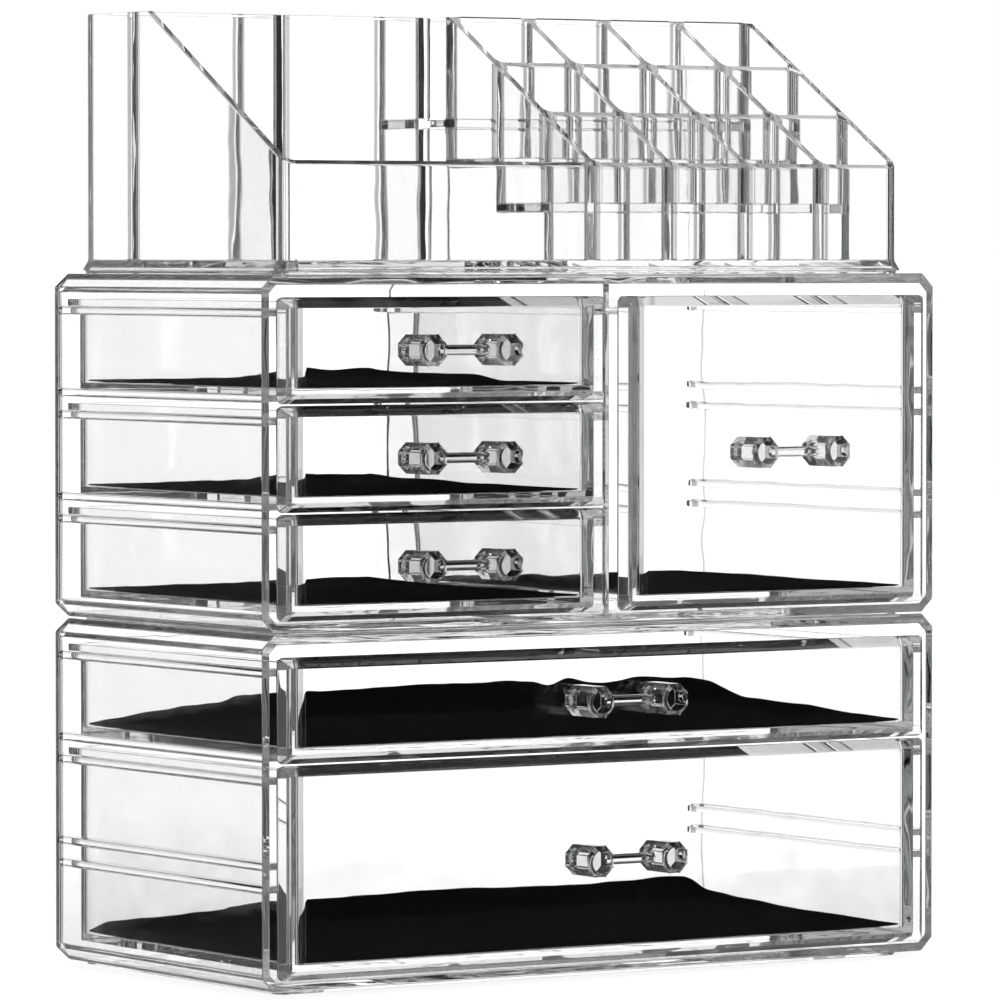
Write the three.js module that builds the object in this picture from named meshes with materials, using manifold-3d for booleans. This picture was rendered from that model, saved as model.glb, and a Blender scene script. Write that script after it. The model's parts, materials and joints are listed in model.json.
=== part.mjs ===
// Acrylic makeup organizer: two stacked drawer cases with a tiered tray on top.
// Lengths are millimetres, +Z is up and the drawers open towards -Y.
// The origin lies on the table, under the middle of the box that the whole set fills.
import * as THREE from "three";
import { mergeVertices } from "three/addons/utils/BufferGeometryUtils.js";
import Module from "manifold-3d";

const wasm = await Module();
wasm.setup();

// Case shell
const caseWidth = 240;
const caseDepth = 124;
const sideWall = 2.6;
const floorWall = 2.6;
const roofWall = 3;
const backWall = 2.6;
const caseChamfer = 4;
const caseRound = 5.5;
const stackGap = 0.5;

// Rows of drawer fronts
const rowCount = 3;
const frontPitch = 31.35;
const frontSplit = 0.45;
const frontFloorGap = 0.7;
const frontRoofGap = 3.05;

// Ribs that carry the drawer flanges
const ribReach = 5.6;
const ribThick = 2;
const ribFrontInset = 2;
const flangeRoom = 4.7;

// Stacking ring under a case, and the groove in the roof that takes it
const ringInsetX = 8.6;
const ringInsetY = 5;
const ringWidth = 3;
const ringRound = 4;
const grooveDepth = 1;
const grooveGap = 0.3;
const seatGap = 0.1;

// Upright divider of the upper case
const dividerThick = 2.2;
const dividerCentreX = 0.8;
const tongueDepth = 0.8;
const tongueGap = 0.2;

// Drawer fronts
const frontGap = 0.3;
const frontEdge = 0.6;
const frontBevel = 3;
const frontRound = 2;
const frontSideGap = 1.9;
const frontDividerGap = 1.15;

// Drawer tubs and their side flanges
const tubSideGap = 0.4;
const tubWall = 2.4;
const tubFloor = 2;
const tubLift = 2.4;
const tubRound = 3;
const closingGap = 0.4;
const flangeDrop = 1.1;
const flangeThick = 2.2;
const flangeTipGap = 2.2;
const flangeRunGap = 0.25;
const flangeBackInset = 3;

// Handles
const knobAcross = 9.2;
const knobLength = 13.1;
const knobSpacing = 26.5;
const knobFace = 7;
const knobChamfer = 1.3;
const barDiameter = 3.1;
const barStand = 7;
const pegDiameter = 3.2;
const pegGap = 0.2;

// Liner mats
const linerThick = 0.9;
const linerGap = 0.3;
const linerLift = 0.1;
const deepDrawerLip = 7;
const smallDrawerLip = 4;
const tallDrawerLip = 1.5;

// Feet
const footDiameter = 10;
const footHeight = 2;
const footRound = 0.6;
const footInsetX = 26;
const footInsetY = 19;

// Tray on top, with its heights measured from the roof that it stands on
const trayInsetX = 9.9;
const trayInsetY = 3.35;
const trayRound = 5;
const trayWall = 2.4;
const trayLift = 0.9;
const trayFloor = 2.6;
const skirtHeight = 3;
const skirtFlare = 1.8;
const traySeatRoot = 0.3;
const trayFrontHeight = 31.9;
const trayBackHeight = 78.2;
const slopeBackLand = 38.8;
const compartmentRound = 2.5;

// Tray compartments
const rearLeftDepth = 24.75;
const rearRightDepth = 34.15;
const rearFirstWidth = 50;
const rearSplitX = -5.4;
const rearRightFloor = 47;
const lipstickSplitX = -2;
const lipstickColumns = 4;
const lipstickFrontFloor = 3.5;
const lipstickMiddleFloor = 21;
const lipstickRearFloor = 34.7;

// How finely the round stretches are cut, and how far cuts run past a face
const cornerSteps = 6;
const roundSteps = 24;
const overrun = 1;
const mergeDistance = 1e-4;

// Places that follow from the sizes
const halfWidth = caseWidth / 2;
const halfDepth = caseDepth / 2;
const innerHalfWidth = halfWidth - sideWall;
const innerBackY = halfDepth - backWall;
const caseHeight = floorWall + frontFloorGap + rowCount * frontPitch + frontRoofGap + roofWall;
const roofUnderside = caseHeight - roofWall;
const innerChamfer = caseChamfer - sideWall * (2 - Math.SQRT2);
const frontBackY = -halfDepth - frontGap;
const frontThick = frontEdge + frontBevel;
const frontFaceY = frontBackY - frontThick;
const knobBaseY = frontFaceY - seatGap;
const knobTipY = knobBaseY - knobLength;
const standHeight = footHeight + seatGap;
const upperCaseZ = caseHeight + stackGap;
const trayZ = upperCaseZ + caseHeight;
const ringReach = stackGap + grooveDepth - seatGap;

// Plastics and mat
const clearPlastic = new THREE.MeshStandardMaterial({
  color: 0xf4f7f8,
  roughness: 0.05,
  metalness: 0,
  transparent: true,
  opacity: 0.35,
});
const clearRubber = new THREE.MeshStandardMaterial({
  color: 0xe6e9ea,
  roughness: 0.35,
  metalness: 0,
  transparent: true,
  opacity: 0.6,
});
const blackMat = new THREE.MeshStandardMaterial({ color: 0x0e0e10, roughness: 0.85, metalness: 0 });

// A geometry's triangles as a solid that can be joined and cut
function solid(geometry) {
  const bare = geometry.clone();
  bare.deleteAttribute("normal");
  bare.deleteAttribute("uv");
  const merged = mergeVertices(bare, mergeDistance);
  const vertProperties = merged.attributes.position.array;
  const triVerts = new Uint32Array(merged.index.array);
  return new wasm.Manifold(new wasm.Mesh({ numProp: 3, vertProperties, triVerts }));
}

function joined(solids) {
  return solids.reduce((whole, piece) => whole.add(piece));
}

function cut(whole, cutters) {
  return cutters.reduce((left, cutter) => left.subtract(cutter), whole);
}

// A solid as a named mesh
function namedMesh(name, whole, material) {
  const { vertProperties, triVerts } = whole.getMesh();
  const indexed = new THREE.BufferGeometry();
  indexed.setAttribute("position", new THREE.BufferAttribute(vertProperties, 3));
  indexed.setIndex(new THREE.BufferAttribute(triVerts, 1));
  const faceted = indexed.toNonIndexed();
  faceted.computeVertexNormals();
  const mesh = new THREE.Mesh(faceted, material);
  mesh.name = name;
  return mesh;
}

function block([x0, x1], [y0, y1], [z0, z1]) {
  const made = new THREE.BoxGeometry(x1 - x0, y1 - y0, z1 - z0);
  made.translate((x0 + x1) / 2, (y0 + y1) / 2, (z0 + z1) / 2);
  return solid(made);
}

function rectanglePoints([a0, a1], [b0, b1]) {
  return [
    [a0, b0],
    [a1, b0],
    [a1, b1],
    [a0, b1],
  ];
}

// Corner points of a rectangle whose corners are cut off at 45 degrees
function chamferedPoints([a0, a1], [b0, b1], chamfer) {
  return [
    [a0 + chamfer, b0],
    [a1 - chamfer, b0],
    [a1, b0 + chamfer],
    [a1, b1 - chamfer],
    [a1 - chamfer, b1],
    [a0 + chamfer, b1],
    [a0, b1 - chamfer],
    [a0, b0 + chamfer],
  ];
}

// Points round a rectangle with rounded corners, whose front corners may differ or be square
function roundedPoints([a0, a1], [b0, b1], radius, frontRadius = radius) {
  const corners = [
    { a: a1 - radius, b: b1 - radius, round: radius },
    { a: a0 + radius, b: b1 - radius, round: radius },
    { a: a0 + frontRadius, b: b0 + frontRadius, round: frontRadius },
    { a: a1 - frontRadius, b: b0 + frontRadius, round: frontRadius },
  ];
  return corners.flatMap(({ a, b, round }, corner) => {
    const steps = Array.from({ length: round > 0 ? cornerSteps + 1 : 1 }, (_, step) => step);
    return steps.map((step) => {
      const angle = ((corner + step / cornerSteps) * Math.PI) / 2;
      return [a + round * Math.cos(angle), b + round * Math.sin(angle)];
    });
  });
}

function extruded(points, depth, bevel) {
  const shape = new THREE.Shape(points.map(([a, b]) => new THREE.Vector2(a, b)));
  return new THREE.ExtrudeGeometry(shape, { depth, bevelEnabled: false, ...bevel });
}

// An outline in X and Y that stands from z0 to z1
function column(points, [z0, z1]) {
  const made = extruded(points, z1 - z0);
  made.translate(0, 0, z0);
  return solid(made);
}

// An outline in X and Z that runs from y0 back to y1
function beam(points, [y0, y1]) {
  const made = extruded(points, y1 - y0);
  made.rotateX(Math.PI / 2);
  made.translate(0, y1, 0);
  return solid(made);
}

// A side profile in Y and Z that runs from x0 to x1
function sideways(points, [x0, x1]) {
  const made = extruded(points, x1 - x0);
  made.rotateX(Math.PI / 2);
  made.rotateZ(Math.PI / 2);
  made.translate(x0, 0, 0);
  return solid(made);
}

// A slab with its widest band, twice the edge high, round z = 0 and a slanted part on each side
function flaredSlab(points, edge, slant, flare) {
  const bevel = { bevelEnabled: true, bevelThickness: slant, bevelSize: flare, bevelSegments: 1 };
  const made = extruded(points, 2 * edge, bevel);
  made.translate(0, 0, -edge);
  return made;
}

// Stacking ring, as an upright band of the given heights
function ring(heights, gap) {
  const outerX = halfWidth - ringInsetX + gap;
  const outerY = halfDepth - ringInsetY + gap;
  const width = ringWidth + 2 * gap;
  const outline = roundedPoints([-outerX, outerX], [-outerY, outerY], ringRound + gap);
  const innerX = outerX - width;
  const innerY = outerY - width;
  const [z0, z1] = heights;
  const hole = block([-innerX, innerX], [-innerY, innerY], [z0 - overrun, z1 + overrun]);
  return column(outline, heights).subtract(hole);
}

// Lower edge and upper edge of the drawer front that starts in one row and spans some rows
function frontBottom(row) {
  return floorWall + frontFloorGap + row * frontPitch;
}

function frontTop(row) {
  return frontBottom(row + 1) - frontSplit;
}

// Heights of the ribs of one row: one under the flange and, below the top row, one over it
function ribHeights(row) {
  const seat = frontTop(row) - flangeDrop - flangeThick - flangeRunGap;
  const under = [seat - ribThick, seat];
  const over = [seat + flangeRoom, seat + flangeRoom + ribThick];
  return row < rowCount - 1 ? [under, over] : [under];
}

function allRibHeights() {
  const rows = Array.from({ length: rowCount }, (_, row) => row);
  return rows.flatMap(ribHeights);
}

// A rib from its wall face to its tip, rooted inside the wall
function rib(wallFace, direction, root, heights) {
  const ends = [wallFace - direction * root, wallFace + direction * ribReach];
  ends.sort((a, b) => a - b);
  return block(ends, [-halfDepth + ribFrontInset, innerBackY - seatGap], heights);
}

// A case-shaped solid, chamfered above and below and rounded at the back, that runs out in front
function caseForm(reachX, backY, [z0, z1], chamfer, round) {
  const across = reachX - chamfer;
  const outline = roundedPoints([-across, across], [-caseDepth, backY - chamfer], round - chamfer);
  const made = flaredSlab(outline, (z1 - z0) / 2 - chamfer, chamfer, chamfer);
  made.translate(0, 0, (z0 + z1) / 2);
  return solid(made);
}

function caseShell() {
  const whole = caseForm(halfWidth, halfDepth, [0, caseHeight], caseChamfer, caseRound);
  const inFront = [-caseDepth - overrun - caseChamfer, -halfDepth];
  const spare = block([-caseWidth, caseWidth], inFront, [-overrun, caseHeight + overrun]);
  const inside = [floorWall, roofUnderside];
  const innerRound = caseRound - sideWall;
  const room = caseForm(innerHalfWidth, innerBackY, inside, innerChamfer, innerRound);
  const groove = ring([caseHeight - grooveDepth, caseHeight + overrun], grooveGap);
  const ribs = allRibHeights().flatMap((heights) => [
    rib(-innerHalfWidth, 1, sideWall / 2, heights),
    rib(innerHalfWidth, -1, sideWall / 2, heights),
  ]);
  const foot = ring([-ringReach, floorWall / 2], 0);
  return joined([cut(whole, [spare, room, groove]), foot, ...ribs]);
}

// Slots in floor and roof that take the divider's tongues, as far back as the chamfers
function dividerSlots() {
  const x = [
    dividerCentreX - dividerThick / 2 - tongueGap,
    dividerCentreX + dividerThick / 2 + tongueGap,
  ];
  const y = [-halfDepth + ribFrontInset - tongueGap, innerBackY - innerChamfer];
  const depth = tongueDepth + tongueGap;
  return [
    block(x, y, [floorWall - depth, floorWall + overrun]),
    block(x, y, [roofUnderside - overrun, roofUnderside + depth]),
  ];
}

function divider() {
  const left = dividerCentreX - dividerThick / 2;
  const right = dividerCentreX + dividerThick / 2;
  const frontY = -halfDepth + ribFrontInset;
  const backY = innerBackY - seatGap;
  const chamferY = backY - innerChamfer;
  const profile = [
    [frontY, floorWall],
    [chamferY, floorWall],
    [backY, floorWall + innerChamfer],
    [backY, roofUnderside - innerChamfer],
    [chamferY, roofUnderside],
    [frontY, roofUnderside],
  ];
  const wall = sideways(profile, [left, right]);
  const tongueY = [frontY, chamferY - tongueGap];
  const tongueZ = [floorWall - tongueDepth, roofUnderside + tongueDepth];
  const tongues = block([left, right], tongueY, tongueZ);
  const leftRibs = allRibHeights().map((heights) => rib(left, -1, dividerThick / 2, heights));
  const rightRib = rib(right, 1, dividerThick / 2, ribHeights(rowCount - 1)[0]);
  return joined([wall, tongues, ...leftRibs, rightRib]);
}

// A bay is the room between two upright walls, with the gap that a front keeps to each
const dividerLeft = dividerCentreX - dividerThick / 2;
const dividerRight = dividerCentreX + dividerThick / 2;
const wideBay = { x: [-innerHalfWidth, innerHalfWidth], gaps: [frontSideGap, frontSideGap] };
const leftBay = { x: [-innerHalfWidth, dividerLeft], gaps: [frontSideGap, frontDividerGap] };
const rightBay = { x: [dividerRight, innerHalfWidth], gaps: [frontDividerGap, frontSideGap] };

const drawers = [
  { name: "lower_deep", z: 0, bay: wideBay, row: 0, rows: 2, lip: deepDrawerLip },
  { name: "lower_shallow", z: 0, bay: wideBay, row: 2, rows: 1, lip: deepDrawerLip },
  { name: "left_bottom", z: upperCaseZ, bay: leftBay, row: 0, rows: 1, lip: smallDrawerLip },
  { name: "left_middle", z: upperCaseZ, bay: leftBay, row: 1, rows: 1, lip: smallDrawerLip },
  { name: "left_top", z: upperCaseZ, bay: leftBay, row: 2, rows: 1, lip: smallDrawerLip },
  { name: "right_tall", z: upperCaseZ, bay: rightBay, row: 0, rows: 3, lip: tallDrawerLip },
];

// Edges of one drawer, worked out from its bay and rows
function drawerPlaces({ bay, row, rows }) {
  const side = ribReach + tubSideGap;
  const bottom = frontBottom(row);
  const top = frontTop(row + rows - 1);
  const front = [bay.x[0] + bay.gaps[0], bay.x[1] - bay.gaps[1]];
  const tub = [bay.x[0] + side, bay.x[1] - side];
  const inner = [tub[0] + tubWall, tub[1] - tubWall];
  const flange = [bay.x[0] + flangeTipGap, bay.x[1] - flangeTipGap];
  const backY = innerBackY - closingGap;
  const floorTop = bottom + tubLift + tubFloor;
  const rimTop = top - flangeDrop;
  const centre = [(front[0] + front[1]) / 2, (bottom + top) / 2];
  return { bottom, top, front, tub, inner, flange, backY, floorTop, rimTop, centre };
}

// Front plate: mitred bevels all round its face, and rounded corners
function frontPlate({ front, bottom, top }) {
  const faceX = [front[0] + frontBevel, front[1] - frontBevel];
  const faceZ = [bottom + frontBevel, top - frontBevel];
  const made = flaredSlab(rectanglePoints(faceX, faceZ), frontEdge, frontBevel, frontBevel);
  made.rotateX(Math.PI / 2);
  made.translate(0, frontBackY, 0);
  const corners = roundedPoints(front, [bottom, top], frontRound);
  return solid(made).intersect(beam(corners, [frontFaceY, frontBackY]));
}

function knobCentres([x]) {
  return [x - knobSpacing / 2, x + knobSpacing / 2];
}

// A round rod along Y
function rodY(radius, x, z, [y0, y1]) {
  const made = new THREE.CylinderGeometry(radius, radius, y1 - y0, roundSteps);
  made.translate(0, (y0 + y1) / 2, 0);
  made.translate(x, 0, z);
  return solid(made);
}

function drawer(spec) {
  const at = drawerPlaces(spec);
  const rootY = frontBackY - frontEdge / 2;
  const outline = roundedPoints(at.tub, [rootY, at.backY], tubRound + tubWall, 0);
  const body = column(outline, [at.bottom + tubLift, at.rimTop]);
  const flangeY = [rootY, at.backY - flangeBackInset];
  const flanges = block(at.flange, flangeY, [at.rimTop - flangeThick, at.rimTop]);
  const room = roundedPoints(at.inner, [frontBackY, at.backY - tubWall], tubRound);
  const inside = column(room, [at.floorTop, at.rimTop + overrun]);
  const tub = joined([body, flanges]).subtract(inside);
  const holes = knobCentres(at.centre).map((x) =>
    rodY(pegDiameter / 2 + pegGap, x, at.centre[1], [frontFaceY - overrun, frontBackY + overrun]),
  );
  return cut(joined([frontPlate(at), tub]), holes);
}

// Eight-sided knob, turned down to a round face at its tip
function knob(x, z) {
  const half = knobAcross / 2;
  const cornerCut = half * (2 - Math.SQRT2);
  const sides = chamferedPoints([x - half, x + half], [z - half, z + half], cornerCut);
  const prism = beam(sides, [knobTipY, knobBaseY]);
  const cornerRadius = half / Math.cos(Math.PI / 8);
  const slope = (cornerRadius - knobFace / 2) / knobChamfer;
  const coneLength = knobChamfer + overrun;
  const wide = cornerRadius + slope * overrun;
  const cone = new THREE.CylinderGeometry(wide, knobFace / 2, coneLength, roundSteps);
  cone.translate(x, knobTipY + coneLength / 2, z);
  const shank = rodY(wide, x, z, [knobTipY + knobChamfer, knobBaseY + overrun]);
  return prism.intersect(joined([solid(cone), shank]));
}

function handle(spec) {
  const { centre } = drawerPlaces(spec);
  const z = centre[1];
  const centres = knobCentres(centre);
  const bar = new THREE.CylinderGeometry(barDiameter / 2, barDiameter / 2, knobSpacing, roundSteps);
  bar.rotateZ(Math.PI / 2);
  bar.translate(centre[0], knobBaseY - barStand, z);
  const pegEnd = knobBaseY + frontThick;
  const pegs = centres.map((x) => rodY(pegDiameter / 2, x, z, [knobBaseY - overrun, pegEnd]));
  return joined([...centres.map((x) => knob(x, z)), solid(bar), ...pegs]);
}

// Mat on the drawer floor, clear of the tub's rounded corners and turned up along the back
function liner(spec) {
  const at = drawerPlaces(spec);
  const margin = tubRound * (1 - Math.SQRT1_2) + linerGap;
  const front = frontBackY + margin;
  const back = at.backY - tubWall - margin;
  const under = at.floorTop + linerLift;
  const x = [at.inner[0] + margin, at.inner[1] - margin];
  const profile = [
    [front, under],
    [back, under],
    [back, under + linerThick + spec.lip],
    [back - linerThick, under + linerThick + spec.lip],
    [back - linerThick, under + linerThick],
    [front, under + linerThick],
  ];
  return sideways(profile, x);
}

function foot() {
  const radius = footDiameter / 2;
  const profile = [
    [0, 0],
    [radius - footRound, 0],
    [radius, footRound],
    [radius, footHeight],
    [0, footHeight],
  ].map(([r, h]) => new THREE.Vector2(r, h));
  const made = new THREE.LatheGeometry(profile, roundSteps);
  made.rotateX(Math.PI / 2);
  return solid(made);
}

// Outer faces of the tray
const trayX = [-halfWidth + trayInsetX, halfWidth - trayInsetX];
const trayY = [-halfDepth + trayInsetY, halfDepth - trayInsetY];
const trayInnerX = [trayX[0] + trayWall, trayX[1] - trayWall];
const trayInnerY = [trayY[0] + trayWall, trayY[1] - trayWall];
const lowestFloor = trayLift + trayFloor;
const rearRightFrontY = trayInnerY[1] - rearRightDepth;
const rearLeftFrontY = trayInnerY[1] - rearLeftDepth;

// Tray compartments apart from the lipstick places: their sides and floor
const compartments = [
  {
    name: "front_left",
    x: [trayInnerX[0], lipstickSplitX - trayWall / 2],
    y: [trayInnerY[0], rearLeftFrontY - trayWall],
    floor: lowestFloor,
  },
  {
    name: "rear_first",
    x: [trayInnerX[0], trayInnerX[0] + rearFirstWidth],
    y: [rearLeftFrontY, trayInnerY[1]],
    floor: lowestFloor,
  },
  {
    name: "rear_second",
    x: [trayInnerX[0] + rearFirstWidth + trayWall, rearSplitX - trayWall / 2],
    y: [rearLeftFrontY, trayInnerY[1]],
    floor: lowestFloor,
  },
  {
    name: "rear_right",
    x: [rearSplitX + trayWall / 2, trayInnerX[1]],
    y: [rearRightFrontY, trayInnerY[1]],
    floor: rearRightFloor,
  },
];

// Lipstick places: columns from the split to the right wall, rows from the front wall back
const lipstickFloors = [lipstickFrontFloor, lipstickMiddleFloor, lipstickRearFloor];
const lipstickX0 = lipstickSplitX + trayWall / 2;
const lipstickWide = (trayInnerX[1] - lipstickX0 + trayWall) / lipstickColumns;
const lipstickDeep = (rearRightFrontY - trayInnerY[0]) / lipstickFloors.length;

function lipstickPlace(column, row) {
  const x0 = lipstickX0 + column * lipstickWide;
  const y0 = trayInnerY[0] + row * lipstickDeep;
  return {
    x: [x0, x0 + lipstickWide - trayWall],
    y: [y0, y0 + lipstickDeep - trayWall],
    floor: lipstickFloors[row],
  };
}

function lipstickPlaces() {
  const columns = Array.from({ length: lipstickColumns }, (_, column) => column);
  return columns.flatMap((column) => lipstickFloors.map((_, row) => lipstickPlace(column, row)));
}

// Hollows under the raised floors, open below
function trayHollows() {
  const rows = lipstickFloors.map((floor, row) => ({ floor, row })).slice(1);
  const under = rows.map(({ floor, row }) => {
    const y0 = trayInnerY[0] + row * lipstickDeep;
    const y = [y0, y0 + lipstickDeep + overrun];
    return block([lipstickX0, trayInnerX[1]], y, [0, floor - trayWall]);
  });
  const rearX = [rearSplitX + trayWall / 2, trayInnerX[1]];
  const rearOutline = roundedPoints(rearX, [rearRightFrontY, trayInnerY[1]], compartmentRound);
  return [...under, column(rearOutline, [0, rearRightFloor - trayWall])];
}

function traySkirt() {
  const outline = roundedPoints(trayX, trayY, trayRound);
  const made = flaredSlab(outline, 0, skirtHeight, skirtFlare);
  made.translate(0, 0, trayLift);
  const reach = caseWidth;
  const below = block([-reach, reach], [-reach, reach], [trayLift - reach, trayLift]);
  return solid(made).subtract(below);
}

function tray() {
  const profile = [
    [trayY[0], trayLift],
    [trayY[1], trayLift],
    [trayY[1], trayBackHeight],
    [trayY[1] - slopeBackLand, trayBackHeight],
    [trayY[0], trayFrontHeight],
  ];
  const stretch = [trayX[0] - overrun, trayX[1] + overrun];
  const outline = roundedPoints(trayX, trayY, trayRound);
  const whole = column(outline, [trayLift, trayBackHeight + overrun]);
  const sloped = whole.intersect(sideways(profile, stretch));
  const rooms = [...compartments, ...lipstickPlaces()].map(({ x, y, floor }) =>
    column(roundedPoints(x, y, compartmentRound), [floor, trayBackHeight + overrun]),
  );
  const seat = ring([seatGap - grooveDepth, trayLift + traySeatRoot], 0);
  const open = cut(sloped.add(traySkirt()), [...rooms, ...trayHollows()]);
  return open.add(seat);
}

// The whole set, built round the middle of the cases and then set on the table
const organizer = new THREE.Group();
const stack = new THREE.Group();
stack.position.set(0, (-knobTipY - halfDepth) / 2, standHeight);
organizer.add(stack);

function place(name, whole, material, x, y, z) {
  const mesh = namedMesh(name, whole, material);
  mesh.position.set(x, y, z);
  stack.add(mesh);
}

place("lower_case", caseShell(), clearPlastic, 0, 0, 0);
place("upper_case", cut(caseShell(), dividerSlots()), clearPlastic, 0, 0, upperCaseZ);
place("upper_divider", divider(), clearPlastic, 0, 0, upperCaseZ);
place("top_tray", tray(), clearPlastic, 0, 0, trayZ);

drawers.forEach((spec) => {
  place(`drawer_${spec.name}`, drawer(spec), clearPlastic, 0, 0, spec.z);
  place(`handle_${spec.name}`, handle(spec), clearPlastic, 0, 0, spec.z);
  place(`liner_${spec.name}`, liner(spec), blackMat, 0, 0, spec.z);
});

const footX = halfWidth - footInsetX;
const footY = halfDepth - footInsetY;
place("foot_front_left", foot(), clearRubber, -footX, -footY, -standHeight);
place("foot_front_right", foot(), clearRubber, footX, -footY, -standHeight);
place("foot_rear_left", foot(), clearRubber, -footX, footY, -standHeight);
place("foot_rear_right", foot(), clearRubber, footX, footY, -standHeight);

export default organizer;
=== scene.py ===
# %% [markdown]
# # A clear plastic organizer, built piece by piece
#
# The object is a set of thin-walled boxes, moulded in clear acrylic: two open cases, six drawers that
# hang in them on side flanges, a stepped tray on top, and black mats on the drawer floors. This script
# takes the measured model as a fixed frame and gives each piece its moulded edges and its finish.
#
# Clear plastic is drawn by what lies behind and around it. So the order of the lesson is the set first,
# then the plastic, then the pieces.

# %% Load the measured model
import json
import math

import bmesh
import bpy
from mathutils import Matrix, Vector, noise


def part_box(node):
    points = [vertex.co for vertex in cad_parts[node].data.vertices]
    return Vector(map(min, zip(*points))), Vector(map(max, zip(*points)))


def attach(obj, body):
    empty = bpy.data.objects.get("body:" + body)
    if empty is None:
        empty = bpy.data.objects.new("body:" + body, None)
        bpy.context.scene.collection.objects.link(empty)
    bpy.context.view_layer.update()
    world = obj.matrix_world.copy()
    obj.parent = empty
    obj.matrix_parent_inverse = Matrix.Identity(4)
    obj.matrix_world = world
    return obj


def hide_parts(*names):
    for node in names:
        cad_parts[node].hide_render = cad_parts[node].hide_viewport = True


MM = 0.001
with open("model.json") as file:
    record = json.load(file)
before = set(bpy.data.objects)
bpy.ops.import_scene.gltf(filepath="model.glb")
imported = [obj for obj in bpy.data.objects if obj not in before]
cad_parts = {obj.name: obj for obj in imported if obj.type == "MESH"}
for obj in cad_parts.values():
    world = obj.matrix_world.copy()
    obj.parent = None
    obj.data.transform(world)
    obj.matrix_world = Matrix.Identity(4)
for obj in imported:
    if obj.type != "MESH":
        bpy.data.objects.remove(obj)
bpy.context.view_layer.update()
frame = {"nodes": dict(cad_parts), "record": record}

# %% [markdown]
# ## The camera
#
# The picture was taken from the left, a little above the lower edge of the tray, with a long lens, so
# the sides hardly converge. The camera stands where the photograph's was and looks slightly down.

# %% Camera at the photograph's place
PHOTO_PX = 1000
FOCAL_PX = 7213.8
SENSOR_MM = 36
AZIMUTH = math.radians(-33.19)
DISTANCE = 2189.5 * MM
SIDESTEP = 0.88 * MM
HEIGHT = 213.9 * MM
PITCH = math.radians(1.972)

case_low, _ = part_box("lower_case")
_, foot_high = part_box("foot_front_left")
AIM_BEHIND_FRONT = 60 * MM
CASE_BOTTOM_Z = foot_high.z + 0.1 * MM

camera_data = bpy.data.cameras.new("camera")
camera_data.sensor_width = SENSOR_MM
camera_data.lens = FOCAL_PX / PHOTO_PX * SENSOR_MM
camera_data.clip_end = 100
camera = bpy.data.objects.new("camera", camera_data)
bpy.context.scene.collection.objects.link(camera)
camera.location = (
    math.sin(AZIMUTH) * DISTANCE + math.cos(AZIMUTH) * SIDESTEP,
    case_low.y + AIM_BEHIND_FRONT - math.cos(AZIMUTH) * DISTANCE + math.sin(AZIMUTH) * SIDESTEP,
    CASE_BOTTOM_Z + HEIGHT,
)
camera.rotation_euler = (math.pi / 2 - PITCH, 0, AZIMUTH)
bpy.context.scene.camera = camera
print("camera at", tuple(round(c, 3) for c in camera.location))

# %% [markdown]
# ## Colour and node helpers
#
# Colours are written as sRGB hex, as a colour picker gives them, and one function turns them to the
# linear values that Blender's sockets hold. One more function adds a node, sets it and links it.

# %% Helpers
def colour(hex_value):
    """An sRGB hex colour as linear red, green, blue and alpha."""
    channels = [int(hex_value[i : i + 2], 16) / 255 for i in (1, 3, 5)]
    linear = [c / 12.92 if c <= 0.04045 else ((c + 0.055) / 1.055) ** 2.4 for c in channels]
    return (*linear, 1.0)


def add(tree, kind, inputs=None, **settings):
    """Adds a node. settings are its own properties, and inputs are values or sockets by socket name."""
    made = tree.nodes.new(kind)
    for name, value in settings.items():
        setattr(made, name, value)
    for name, value in (inputs or {}).items():
        if isinstance(value, bpy.types.NodeSocket):
            tree.links.new(value, made.inputs[name])
        else:
            made.inputs[name].default_value = value
    return made


def new_material(name):
    """A material with an empty node tree and its output node."""
    material = bpy.data.materials.new(name)
    material.use_nodes = True
    tree = material.node_tree
    tree.nodes.clear()
    return material, tree, tree.nodes.new("ShaderNodeOutputMaterial")


# %% [markdown]
# ## The studio
#
# Clear plastic needs something to refract. The photograph is lit as glass is usually lit, on a bright
# field: white sheets hang behind the object, and the room in front is dark. So light that comes straight
# through the walls is white, and light that has been reflected on the way, in a surface or inside an edge,
# is mostly dark, with a few bright strips. That is what draws the edges in grey and keeps the mats black
# behind their clear fronts.
#
# Light Path tells the two apart from every side of the object. Its Glossy Depth counts the reflections on
# the way: none means the sheets, one or more mean the room. A plain white world would light everything
# evenly and leave the plastic almost unseen. Everything here reads only the direction of a ray.

# %% Directions in the world
world = bpy.data.worlds.new("studio")
bpy.context.scene.world = world
world.use_nodes = True
sky = world.node_tree
sky.nodes.clear()
sky_out = sky.nodes.new("ShaderNodeOutputWorld")
way = add(sky, "ShaderNodeTexCoord").outputs["Generated"]
parts = add(sky, "ShaderNodeSeparateXYZ", {"Vector": way})
angle = add(sky, "ShaderNodeMath", {0: parts.outputs["Y"], 1: parts.outputs["X"]}, operation="ARCTAN2")


def height_at(degrees):
    """The Z part of a direction that rises by an angle."""
    return math.sin(math.radians(degrees))


print("world reads directions only, with", len(sky.nodes), "nodes so far")

# %% [markdown]
# ## White sheets behind
#
# Eight white sheets hang all round, one of them straight behind the object as the camera sees it, with
# greyer gaps between them. Clear edges bend the view aside into the gaps, and that makes them stand out.

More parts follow.
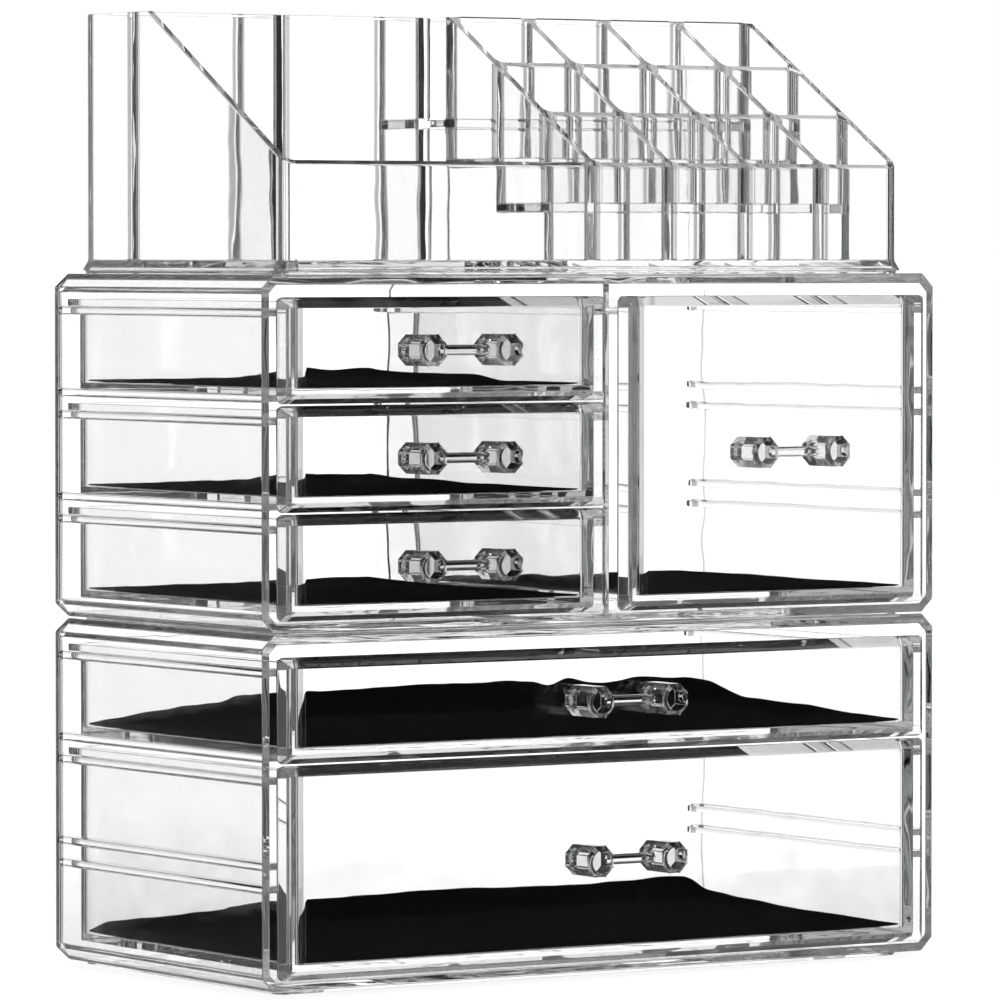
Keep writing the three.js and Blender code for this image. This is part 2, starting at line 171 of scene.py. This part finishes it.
# %% Sheets and gaps
SHEET_BRIGHT = 1.45
SHEET_GAP = 0.6
SHEET_COUNT = 8
SHEET_TURN = math.radians(56.8)
WAVE_IN_GAP = -0.9
WAVE_ON_SHEET = 0.5
from_sheet = add(sky, "ShaderNodeMath", {0: angle.outputs[0], 1: SHEET_TURN}, operation="SUBTRACT")
sheet_wave = add(sky, "ShaderNodeMath", {0: from_sheet.outputs[0], 1: SHEET_COUNT}, operation="MULTIPLY")
sheet_wave = add(sky, "ShaderNodeMath", {0: sheet_wave.outputs[0]}, operation="COSINE")
sheets = add(
    sky,
    "ShaderNodeMapRange",
    {
        "Value": sheet_wave.outputs[0],
        "From Min": WAVE_IN_GAP,
        "From Max": WAVE_ON_SHEET,
        "To Min": SHEET_GAP,
        "To Max": SHEET_BRIGHT,
    },
    interpolation_type="SMOOTHSTEP",
)
print(SHEET_COUNT, "sheets, bright", SHEET_BRIGHT, "and in the gaps", SHEET_GAP)

# %% [markdown]
# ## The table's tone
#
# Low down, the walls show the table behind the object instead of the sheets, as a soft grey with a slightly
# wavy upper edge. Noise on the direction moves that edge up and down.

# %% Table behind
TABLE_SHARE = 0.76
TABLE_START_DEG = -4.3
TABLE_FULL_DEG = -5.4
TABLE_WAVE = 0.024
DRIFT_SCALE = 9.0
DRIFT_DETAIL = 2.0
drift = add(sky, "ShaderNodeTexNoise", {"Vector": way, "Scale": DRIFT_SCALE, "Detail": DRIFT_DETAIL})
drift = add(sky, "ShaderNodeMath", {0: drift.outputs["Fac"], 1: 0.5}, operation="SUBTRACT")
waving = add(
    sky,
    "ShaderNodeMath",
    {0: drift.outputs[0], 1: TABLE_WAVE, 2: parts.outputs["Z"]},
    operation="MULTIPLY_ADD",
)
table = add(
    sky,
    "ShaderNodeMapRange",
    {
        "Value": waving.outputs[0],
        "From Min": height_at(TABLE_FULL_DEG),
        "From Max": height_at(TABLE_START_DEG),
        "To Min": TABLE_SHARE,
        "To Max": 1.0,
    },
    interpolation_type="SMOOTHSTEP",
)
sheets = add(sky, "ShaderNodeMath", {0: sheets.outputs[0], 1: table.outputs[0]}, operation="MULTIPLY")
print("table tone starts", -TABLE_START_DEG, "degrees down")

# %% [markdown]
# ## Above and below the sheets
#
# The sheets end at some height, so a ray that leaves steeply finds less light: little above, where the
# room is dark, and more below, where the table is.

# %% Steep directions
STEEP_ABOVE = 0.25
STEEP_BELOW = 0.62
STEEP_START_DEG = 18
STEEP_FULL_DEG = 42
HORIZON_SOFT = 0.1
steep = add(
    sky,
    "ShaderNodeMapRange",
    {
        "Value": parts.outputs["Z"],
        "From Min": -HORIZON_SOFT,
        "From Max": HORIZON_SOFT,
        "To Min": STEEP_BELOW,
        "To Max": STEEP_ABOVE,
    },
)
steepness = add(sky, "ShaderNodeMath", {0: parts.outputs["Z"]}, operation="ABSOLUTE")
behind = add(
    sky,
    "ShaderNodeMapRange",
    {
        "Value": steepness.outputs[0],
        "From Min": height_at(STEEP_START_DEG),
        "From Max": height_at(STEEP_FULL_DEG),
        "To Min": sheets.outputs[0],
        "To Max": steep.outputs[0],
    },
    interpolation_type="SMOOTHSTEP",
)
print("sheets end between", STEEP_START_DEG, "and", STEEP_FULL_DEG, "degrees up and down")

# %% [markdown]
# ## The dark room in front
#
# A reflected ray finds a dark room with a few bright upright strips, which put the glints on the edges. It
# is darkest in the two directions that the big flat faces mirror, so that no veil lies over the mats.

# %% Room and strips
ROOM_DARK = 0.07
ROOM_STRIP = 1.4
STRIP_COUNT = 5
STRIP_TURN = math.radians(20)
STRIP_SHARE = 0.22
STRIP_SOFT = 0.05
turned = add(sky, "ShaderNodeMath", {0: angle.outputs[0], 1: STRIP_TURN}, operation="ADD")
rounds = add(
    sky, "ShaderNodeMath", {0: turned.outputs[0], 1: STRIP_COUNT / (2 * math.pi)}, operation="MULTIPLY"
)
share = add(sky, "ShaderNodeMath", {0: rounds.outputs[0]}, operation="FRACT")
strips = add(
    sky,
    "ShaderNodeMapRange",
    {
        "Value": share.outputs[0],
        "From Min": STRIP_SHARE,
        "From Max": STRIP_SHARE + STRIP_SOFT,
        "To Min": ROOM_STRIP,
        "To Max": ROOM_DARK,
    },
)
print(STRIP_COUNT, "strips in the room")

# %% Darkest where the flat faces mirror
ROOM_DARKEST = 0.03
DARKEST_AT = (math.radians(-56.8), math.radians(123.2))
DARKEST_HALF = math.radians(18)
DARKEST_CORE = 0.6
for direction in DARKEST_AT:
    aside = add(sky, "ShaderNodeMath", {0: angle.outputs[0], 1: direction}, operation="SUBTRACT")
    aside = add(sky, "ShaderNodeMath", {0: aside.outputs[0]}, operation="ABSOLUTE")
    darkest = add(
        sky,
        "ShaderNodeMapRange",
        {
            "Value": aside.outputs[0],
            "From Min": DARKEST_HALF * DARKEST_CORE,
            "From Max": DARKEST_HALF,
            "To Min": ROOM_DARKEST / ROOM_DARK,
            "To Max": 1.0,
        },
    )
    strips = add(sky, "ShaderNodeMath", {0: strips.outputs[0], 1: darkest.outputs[0]}, operation="MULTIPLY")
print("darkest at", [round(math.degrees(direction), 1) for direction in DARKEST_AT], "degrees")

# %% [markdown]
# ## Ceiling and near table
#
# A reflected ray that goes steeply up finds a lit ceiling, and one that goes steeply down finds the table in
# front. They put white on upper edges and grey on lower ones, where the dark room alone would leave black.

# %% Lit ceiling and near table
TOP_LIGHT = 1.2
TOP_START_DEG = 62
TOP_FULL_DEG = 74
NEAR_TABLE = 0.5
NEAR_START_DEG = -19
NEAR_FULL_DEG = -28
top = add(
    sky,
    "ShaderNodeMapRange",
    {
        "Value": parts.outputs["Z"],
        "From Min": height_at(TOP_START_DEG),
        "From Max": height_at(TOP_FULL_DEG),
        "To Min": 0.0,
        "To Max": TOP_LIGHT,
    },
    interpolation_type="SMOOTHSTEP",
)
near = add(
    sky,
    "ShaderNodeMapRange",
    {
        "Value": parts.outputs["Z"],
        "From Min": height_at(NEAR_FULL_DEG),
        "From Max": height_at(NEAR_START_DEG),
        "To Min": NEAR_TABLE,
        "To Max": 0.0,
    },
    interpolation_type="SMOOTHSTEP",
)
room = add(sky, "ShaderNodeMath", {0: strips.outputs[0], 1: top.outputs[0]}, operation="MAXIMUM")
room = add(sky, "ShaderNodeMath", {0: room.outputs[0], 1: near.outputs[0]}, operation="MAXIMUM")
print("ceiling light", TOP_LIGHT, "and near table", NEAR_TABLE)

# %% [markdown]
# ## Light that zigzags inside a wall
#
# Inside a thin wall, light is reflected dozens of times between the two faces before it comes out at an
# edge. It has lost its direction by then, so it is given one soft level that varies a little round the
# object. The longer its way was, the more the plastic's own absorption takes from it.

# %% Light inside the edges
EDGE_GREY = 0.2
EDGE_LIGHT = 0.7
FEW_TURNS = 12
MANY_TURNS = 26
edge_glow = add(
    sky,
    "ShaderNodeMapRange",
    {
        "Value": share.outputs[0],
        "From Min": STRIP_SHARE,
        "From Max": 2 * STRIP_SHARE,
        "To Min": EDGE_LIGHT,
        "To Max": EDGE_GREY,
    },
)
rays = add(sky, "ShaderNodeLightPath")
scrambled = add(
    sky,
    "ShaderNodeMapRange",
    {"Value": rays.outputs["Glossy Depth"], "From Min": FEW_TURNS, "From Max": MANY_TURNS},
)
room = add(
    sky,
    "ShaderNodeMix",
    {0: scrambled.outputs[0], 2: room.outputs[0], 3: edge_glow.outputs[0]},
    data_type="FLOAT",
)
print("edge light from", EDGE_GREY, "to", EDGE_LIGHT, "after", MANY_TURNS, "reflections")

# %% [markdown]
# ## Three views of one world
#
# A straight ray from the camera shows the plain white page. A ray that comes out of the plastic shows the
# sheets or the room. Matt surfaces only gather light, and one even level is enough for them.

# %% Which light each kind of ray sees
BACKDROP_SEEN = 1.0
AROUND_LIGHT = 0.55
WHITE = (1, 1, 1, 1)
reflected = add(sky, "ShaderNodeMath", {0: rays.outputs["Glossy Depth"], 1: 0.5}, operation="GREATER_THAN")
backdrop = add(sky, "ShaderNodeBackground", {"Color": WHITE, "Strength": behind.outputs[0]})
studio = add(sky, "ShaderNodeBackground", {"Color": room.outputs[0]})
plain = add(sky, "ShaderNodeBackground", {"Color": WHITE, "Strength": BACKDROP_SEEN})
around = add(sky, "ShaderNodeBackground", {"Color": WHITE, "Strength": AROUND_LIGHT})
clear = add(
    sky,
    "ShaderNodeMixShader",
    {0: reflected.outputs[0], 1: backdrop.outputs[0], 2: studio.outputs[0]},
)
direct = add(
    sky, "ShaderNodeMixShader", {0: rays.outputs["Is Camera Ray"], 1: clear.outputs[0], 2: plain.outputs[0]}
)
matt_too = add(
    sky,
    "ShaderNodeMixShader",
    {0: rays.outputs["Is Diffuse Ray"], 1: direct.outputs[0], 2: around.outputs[0]},
)
sky.links.new(matt_too.outputs[0], sky_out.inputs["Surface"])
print("matt surfaces see an even", AROUND_LIGHT)

# %% [markdown]
# ## The floor
#
# The camera sees a white sheet that keeps the object's soft shadow. Rays that have passed the plastic go
# on through the sheet to the same backdrop and room, so a low wall looks as bright as a high one.

# %% Floor
FLOOR_SIZE = 60
FLOOR_GLOW_SHARE = 0.8
FLOOR_GLOW = 1.15
floor_material, tree, out = new_material("white_sweep")
rays = add(tree, "ShaderNodeLightPath")
amount = add(
    tree, "ShaderNodeMath", {0: rays.outputs["Is Camera Ray"], 1: FLOOR_GLOW_SHARE}, operation="MULTIPLY"
)
passed = add(
    tree,
    "ShaderNodeMath",
    {0: rays.outputs["Is Glossy Ray"], 1: rays.outputs["Is Transmission Ray"]},
    operation="MAXIMUM",
)
matt = add(tree, "ShaderNodeBsdfDiffuse", {"Color": colour("#E7E7E7")})
glow = add(tree, "ShaderNodeEmission", {"Color": WHITE, "Strength": FLOOR_GLOW})
sheet = add(tree, "ShaderNodeMixShader", {0: amount.outputs[0], 1: matt.outputs[0], 2: glow.outputs[0]})
clear = add(tree, "ShaderNodeBsdfTransparent")
mixed = add(tree, "ShaderNodeMixShader", {0: passed.outputs[0], 1: sheet.outputs[0], 2: clear.outputs[0]})
tree.links.new(mixed.outputs[0], out.inputs["Surface"])

floor_shape = bmesh.new()
bmesh.ops.create_grid(floor_shape, x_segments=1, y_segments=1, size=FLOOR_SIZE / 2)
floor_mesh = bpy.data.meshes.new("floor")
floor_shape.to_mesh(floor_mesh)
floor_shape.free()
floor_mesh.materials.append(floor_material)
floor = bpy.data.objects.new("floor", floor_mesh)
bpy.context.scene.collection.objects.link(floor)
print("floor", FLOOR_SIZE, "m wide")

# %% [markdown]
# ## One lamp
#
# A soft box hangs in front of the object, above it and to its left. It gives the mats their faint sheen and
# the floor its soft shadow. A small lamp would draw hard white dots on every rounded edge.

# %% Soft box overhead
LAMP_WIDE = 1.2
LAMP_DEEP = 0.8
LAMP_WATTS = 14
LAMP_AT = Vector((-0.5, -0.7, 1.6))
LAMP_AIM = Vector((0, 0, 0.15))
lamp_data = bpy.data.lights.new("soft_box", "AREA")
lamp_data.shape = "RECTANGLE"
lamp_data.size = LAMP_WIDE
lamp_data.size_y = LAMP_DEEP
lamp_data.energy = LAMP_WATTS
lamp = bpy.data.objects.new("soft_box", lamp_data)
lamp.location = LAMP_AT
lamp.rotation_euler = (LAMP_AIM - LAMP_AT).to_track_quat("-Z", "Y").to_euler()
bpy.context.scene.collection.objects.link(lamp)
print("soft box of", LAMP_WATTS, "W")

# %% [markdown]
# ## Enough bounces
#
# A view through the whole object crosses a dozen walls, and light inside an edge turns far more often. With
# the usual dozen bounces such rays would be cut short and the edges would come out black.

# %% Bounces and view
MOST_BOUNCES = 96
THROUGH_BOUNCES = 48
MIRROR_BOUNCES = 72
CLEAR_BOUNCES = 40
scene = bpy.context.scene
scene.view_settings.view_transform = "Standard"
scene.cycles.max_bounces = MOST_BOUNCES
scene.cycles.transmission_bounces = THROUGH_BOUNCES
scene.cycles.glossy_bounces = MIRROR_BOUNCES
scene.cycles.transparent_max_bounces = CLEAR_BOUNCES
print("up to", MOST_BOUNCES, "bounces")

# %% [markdown]
# ## The clear plastic
#
# Acrylic (PMMA), injection moulded in a polished tool. It is almost colourless through one wall, and grey
# along a long way inside, which is why its edges look dark.
#
# Three kinds of detail show in it. The walls are not perfectly even, so long shallow waves bend what is
# seen through them. Wiping leaves fine hairline scuffs that dull the polish in streaks. And the absorption
# sits in the volume, so thick knobs come out darker than thin walls. Each kind of piece gets its own waves,
# and the tray and the handles absorb more than the boxes.

# %% Acrylic, moulded and polished
ACRYLIC_INDEX = 1.49
CLEAR_TINT = "#DCDEDF"
HANDLE_TINT = "#D4D6D7"
POLISH = 0.008
SCUFFED = 0.07
SCUFF_MM = 0.9
SCUFF_LONG = 14
SCUFF_TURN = (0.3, 0.2, 0.5)
SCUFF_FROM = 0.62
SCUFF_FULL = 0.78


def clear_plastic(name, tint, density, wave_mm, wave_height_mm):
    """Moulded clear plastic: absorption inside, shallow waves in its faces and hairline scuffs."""
    material, tree, out = new_material(name)
    place = add(tree, "ShaderNodeTexCoord").outputs["Object"]
    waves = add(
        tree,
        "ShaderNodeTexNoise",
        {"Vector": place, "Scale": 1 / (wave_mm * MM), "Detail": 1.0, "Roughness": 0.4},
    )
    bump = add(
        tree,
        "ShaderNodeBump",
        {"Height": waves.outputs["Fac"], "Strength": 1.0, "Distance": wave_height_mm * MM},
    )
    streaks = add(
        tree,
        "ShaderNodeMapping",
        {"Vector": place, "Rotation": SCUFF_TURN, "Scale": (1 / SCUFF_LONG, 1, 1)},
    )
    hairs = add(
        tree,
        "ShaderNodeTexNoise",
        {"Vector": streaks.outputs[0], "Scale": 1 / (SCUFF_MM * MM), "Detail": 3.0, "Roughness": 0.6},
    )
    dullness = add(
        tree,
        "ShaderNodeMapRange",
        {
            "Value": hairs.outputs["Fac"],
            "From Min": SCUFF_FROM,
            "From Max": SCUFF_FULL,
            "To Min": POLISH,
            "To Max": SCUFFED,
        },
    )
    shader = add(
        tree,
        "ShaderNodeBsdfPrincipled",
        {
            "Base Color": WHITE,
            "Roughness": dullness.outputs[0],
            "IOR": ACRYLIC_INDEX,
            "Transmission Weight": 1.0,
            "Normal": bump.outputs["Normal"],
        },
    )
    inside = add(tree, "ShaderNodeVolumeAbsorption", {"Color": colour(tint), "Density": density})
    tree.links.new(shader.outputs[0], out.inputs["Surface"])
    tree.links.new(inside.outputs[0], out.inputs["Volume"])
    print(name, "has waves", wave_mm, "mm long")
    return material


case_plastic = clear_plastic("acrylic_case", CLEAR_TINT, density=5, wave_mm=26, wave_height_mm=0.2)
drawer_plastic = clear_plastic("acrylic_drawer", CLEAR_TINT, density=5, wave_mm=20, wave_height_mm=0.24)
tray_plastic = clear_plastic("acrylic_tray", CLEAR_TINT, density=15, wave_mm=17, wave_height_mm=0.18)
handle_plastic = clear_plastic("acrylic_handle", HANDLE_TINT, density=60, wave_mm=10, wave_height_mm=0.02)

# %% [markdown]
# ## The bumpers
#
# The feet are clear self-adhesive bumpers: soft polyurethane, cast in drops. They are clear as well, but
# their skin is faintly matt and picks up dust, so they look frosted beside the acrylic.

# %% Polyurethane, cast
GRAIN_MM = 0.4
GRAIN_DEEP_MM = 0.05
bumper_rubber, tree, out = new_material("polyurethane_bumper")
place = add(tree, "ShaderNodeTexCoord").outputs["Object"]
grain = add(tree, "ShaderNodeTexNoise", {"Vector": place, "Scale": 1 / (GRAIN_MM * MM), "Detail": 3.0})
relief = add(
    tree,
    "ShaderNodeBump",
    {"Height": grain.outputs["Fac"], "Strength": 0.4, "Distance": GRAIN_DEEP_MM * MM},
)
dusty = add(
    tree,
    "ShaderNodeMapRange",
    {"Value": grain.outputs["Fac"], "From Min": 0.3, "From Max": 0.7, "To Min": 0.12, "To Max": 0.3},
)
shader = add(
    tree,
    "ShaderNodeBsdfPrincipled",
    {
        "Base Color": colour("#E4E7E8"),
        "Roughness": dusty.outputs[0],
        "IOR": 1.5,
        "Transmission Weight": 0.9,
        "Normal": relief.outputs["Normal"],
    },
)
tree.links.new(shader.outputs[0], out.inputs["Surface"])
print(bumper_rubber.name, "grain", GRAIN_MM, "mm")

# %% [markdown]
# ## Flat walls have to shade flat
#
# A mould is polished, so a wall bends the view behind it evenly, right up to the small radius at its edge.
# Smooth shading alone would average each corner's normal with its neighbours' and turn every wall into a
# weak lens. So each corner averages only the largest faces around it: the flat alone beside a flat, the
# neighbouring strips along a rounded corner, and the small faces of an edge radius only among themselves.

# %% Shading normals
CREASE = math.radians(32)
SAME_PLANE = math.radians(0.2)
MUCH_LARGER = 6


def flats_of(shape):
    """Groups the faces that lie in one plane, and gives each face the area of its group."""
    area_of = {}
    for seed in shape.faces:
        if seed in area_of:
            continue
        group, waiting = {seed}, [seed]
        while waiting:
            for edge in waiting.pop().edges:
                for face in edge.link_faces:
                    known = face in group or face in area_of
                    if not known and face.normal.angle(seed.normal, 0) < SAME_PLANE:
                        group.add(face)
                        waiting.append(face)
        total = sum(face.calc_area() for face in group)
        area_of.update((face, total) for face in group)
    return area_of


def corner_normals(shape):
    """One normal for each corner of each face, in the order that the mesh keeps them."""
    area_of = flats_of(shape)
    normals = []
    for face in shape.faces:
        for corner in face.loops:
            around = [
                near
                for near in corner.vert.link_loops
                if near.face.normal.angle(face.normal, 0) < CREASE
            ]
            largest = max(area_of[near.face] for near in around)
            ruling = [near for near in around if area_of[near.face] * MUCH_LARGER > largest]
            total = sum((near.face.normal * near.calc_angle() for near in ruling), Vector())
            normals.append(total.normalized())
    return normals


# %% [markdown]
# ## Moulded edges
#
# No moulded edge is quite sharp, and on clear plastic its small radius draws the bright and dark outline
# of the whole piece. A Bevel modifier could round it, but its normals would bend the flat walls. So each
# measured piece is copied, its coplanar faces are joined, its edges are bevelled by the radius that such a
# piece has, and the normals above are set on the result. The copy then stands for the measured piece.

# %% Rounding the edges of a copy
WELD_MM = 0.002
FLAT_DEG = 0.5
SHARP_DEG = 30
EDGE_STEPS = 2


def moulded_copy(node_name, body, material, edge_mm):
    """A copy of a measured piece with rounded edges and flat-shaded walls, riding on its body."""
    source = frame["nodes"][node_name]
    shape = bmesh.new()
    shape.from_mesh(source.data)
    bmesh.ops.remove_doubles(shape, verts=shape.verts, dist=WELD_MM * MM)
    bmesh.ops.dissolve_limit(
        shape, angle_limit=math.radians(FLAT_DEG), verts=shape.verts, edges=shape.edges
    )
    bmesh.ops.triangulate(shape, faces=[face for face in shape.faces if len(face.verts) > 4])
    sharp = [e for e in shape.edges if e.is_manifold and e.calc_face_angle() > math.radians(SHARP_DEG)]
    bmesh.ops.bevel(
        shape,
        geom=sharp,
        offset=edge_mm * MM,
        offset_type="OFFSET",
        segments=EDGE_STEPS,
        profile=0.5,
        affect="EDGES",
        clamp_overlap=False,
        material=-1,
    )
    shape.normal_update()
    normals = corner_normals(shape)
    mesh = bpy.data.meshes.new(node_name + "_moulded")
    shape.to_mesh(mesh)
    shape.free()
    mesh.materials.clear()
    mesh.materials.append(material)
    mesh.shade_smooth()
    mesh.normals_split_custom_set(normals)
    piece = bpy.data.objects.new(node_name + "_moulded", mesh)
    bpy.context.scene.collection.objects.link(piece)
    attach(piece, body)
    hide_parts(node_name)
    return piece


# %% Round every clear piece
# Each finish is a slot's name, its material and the radius of the piece's edges in millimetres.
bodies = frame["record"]["behaviour"]["bodies"]
node_body = {node: body for body, nodes in bodies.items() for node in nodes}
finish_of = {
    "lower_case": ("case_plastic", case_plastic, 0.4),
    "upper_case": ("case_plastic", case_plastic, 0.4),
    "upper_divider": ("case_plastic", case_plastic, 0.3),
    "top_tray": ("tray_plastic", tray_plastic, 0.5),
}
for name in frame["nodes"]:
    if name.startswith("drawer_"):
        finish_of[name] = ("drawer_plastic", drawer_plastic, 0.3)
    if name.startswith("handle_"):
        finish_of[name] = ("handle_plastic", handle_plastic, 0.15)
    if name.startswith("foot_"):
        finish_of[name] = ("foot_rubber", bumper_rubber, 0.1)

for name, (slot_name, material, edge_mm) in finish_of.items():
    piece = moulded_copy(name, node_body[name], material, edge_mm)
    print(name, len(piece.data.polygons), "faces")

# %% [markdown]
# ## The black mats
#
# Each drawer has a loose mat of thin black foam net, cut by hand a little longer than the floor. So its
# back margin climbs the back wall of the tub, higher in some places than in others, and its right margin
# lifts a little as well. A flat slab would lose that wavy outline, which is the darkest line in the
# picture. Each mat starts as a grid, and its points are lifted towards the margins by heights measured
# along them.
#
# The stuff is soft black PVC foam on a net. It is dull, and its small cells catch a little light.

# %% PVC net foam
CELL_MM = 1.3
CELL_DEEP_MM = 0.4
LINT_MM = 9
mat_material, tree, out = new_material("pvc_net_foam")
place = add(tree, "ShaderNodeTexCoord").outputs["Object"]
cells = add(
    tree,
    "ShaderNodeTexVoronoi",
    {"Vector": place, "Scale": 1 / (CELL_MM * MM), "Randomness": 0.25},
    feature="DISTANCE_TO_EDGE",
)
lint = add(tree, "ShaderNodeTexNoise", {"Vector": place, "Scale": 1 / (LINT_MM * MM), "Detail": 4.0})
tone = add(
    tree,
    "ShaderNodeMix",
    {0: lint.outputs["Fac"], 6: colour("#050506"), 7: colour("#0E0E10")},
    data_type="RGBA",
)
relief = add(
    tree,
    "ShaderNodeBump",
    {"Height": cells.outputs["Distance"], "Strength": 0.5, "Distance": CELL_DEEP_MM * MM},
)
shader = add(
    tree,
    "ShaderNodeBsdfPrincipled",
    {
        "Base Color": tone.outputs[2],
        "Roughness": 0.85,
        "Specular IOR Level": 0.12,
        "Normal": relief.outputs["Normal"],
    },
)
tree.links.new(shader.outputs[0], out.inputs["Surface"])
print(mat_material.name, "cells", CELL_MM, "mm")

# %% Heights along the back and right margins
# Each pair is a place along the margin and the lift there, in millimetres. Places count from the middle
# of the case sideways, and from the point the camera aims at in depth.
mat_margins = {
    "lower_shallow": (
        [
            (-108, 0.3), (-100, 1.6), (-85, 3.4), (-70, 4.9), (-48, 7.6), (7, 8.3),
            (50, 8.6), (56, 6.6), (63, 9), (72, 7.4), (91, 8.7), (108, 7.8),
        ],
        [(-54, 0.5), (-37, 0.9), (-8, 2.4), (21, 2.9), (32, 4.6), (36, 6), (42, 7.5), (54, 7.8)],
    ),
    "lower_deep": (
        [
            (-108, 0.3), (-100, 3), (-80, 3.6), (-62, 4.4), (-48, 6.3), (17, 7.1),
            (60, 6.4), (82, 6.3), (97, 6.9), (108, 6.7),
        ],
        [(-54, 0.4), (-10, 1), (27, 2.4), (45, 3.5), (54, 6.5)],
    ),
    "left_top": (
        [(-108, 0.3), (-55, 0.5), (-40, 2.4), (-33, 3.6), (-21, 2.9), (-9, 3.3)],
        [(-54, 0.3), (-19, 0.3), (0, 2.1), (39, 2.3), (54, 3)],
    ),
    "left_middle": (
        [(-108, 0.2), (-55, 0.4), (-40, 2.1), (-30, 1.6), (-9, 1.8)],
        [(-54, 0.2), (0, 0.4), (20, 0.9), (40, 0.7), (54, 1.6)],
    ),
    "left_bottom": (
        [(-108, 0.2), (-55, 0.3), (-40, 1.1), (-9, 0.9)],
        [(-54, 0.2), (20, 0.3), (54, 0.8)],
    ),
    "right_tall": (
        [(11, 0.6), (30, 0.2), (108, 0.2)],
        [(-54, 0.2), (54, 0.2)],
    ),
}
print(len(mat_margins), "mats with measured margins")


# %% Lift near a margin
def lift_at(margin, place):
    """The lift at a place along a margin, with eased steps between the measured places."""
    for (start, low), (end, high) in zip(margin, margin[1:]):
        if place <= end:
            share = max(0.0, (place - start) / (end - start))
            return low + (high - low) * share * share * (3 - 2 * share)
    return margin[-1][1]


def curl(distance_mm, reach_mm):
    """How much of the margin's lift is left at a distance from it."""
    return max(0.0, 1 - distance_mm / reach_mm) ** 2


# %% Cut and lift the mats
MAT_THICK = 0.5 * MM
MAT_STEP_MM = 2.6
BACK_REACH_MM = 13
SIDE_REACH_MM = 9
RIPPLE_MM = 0.35
RIPPLE_ACROSS_MM = 31
RIPPLE_BACK_MM = 27


def drawer_mat(drawer):
    """The mat of one drawer, cut as a grid, lifted along its margins and given its thickness."""
    low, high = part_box("liner_" + drawer)
    back_margin, right_margin = mat_margins[drawer]
    width, depth = high.x - low.x, high.y - low.y
    shape = bmesh.new()
    bmesh.ops.create_grid(
        shape,
        x_segments=round(width / MM / MAT_STEP_MM),
        y_segments=round(depth / MM / MAT_STEP_MM),
        size=0.5,
    )
    bmesh.ops.scale(shape, vec=(width, depth, 1), verts=shape.verts)
    middle = Vector(((low.x + high.x) / 2, (low.y + high.y) / 2, low.z))
    bmesh.ops.translate(shape, vec=middle, verts=shape.verts)
    for vert in shape.verts:
        x_mm = vert.co.x / MM
        y_mm = (vert.co.y - case_low.y - AIM_BEHIND_FRONT) / MM
        back = lift_at(back_margin, x_mm) * curl((high.y - vert.co.y) / MM, BACK_REACH_MM)
        right = lift_at(right_margin, y_mm) * curl((high.x - vert.co.x) / MM, SIDE_REACH_MM)
        place = Vector((x_mm / RIPPLE_ACROSS_MM, y_mm / RIPPLE_BACK_MM, low.z / MM))
        ripple = RIPPLE_MM * (1 + noise.noise(place)) / 2
        vert.co.z += (max(back, right) + ripple) * MM
    area = sum(face.calc_area() for face in shape.faces)
    mesh = bpy.data.meshes.new("mat_" + drawer)
    shape.to_mesh(mesh)
    shape.free()
    mesh.materials.append(mat_material)
    mesh.shade_smooth()
    piece = bpy.data.objects.new("mat_" + drawer, mesh)
    bpy.context.scene.collection.objects.link(piece)
    wall = piece.modifiers.new("thickness", "SOLIDIFY")
    wall.thickness = MAT_THICK
    wall.offset = 1
    soft = piece.modifiers.new("soft rim", "SUBSURF")
    soft.levels = soft.render_levels = 1
    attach(piece, "drawer_" + drawer)
    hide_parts("liner_" + drawer)
    print(piece.name, "cut to", round(width / MM, 1), "x", round(area / width / MM, 1), "mm")
    return piece


for drawer in mat_margins:
    drawer_mat(drawer)
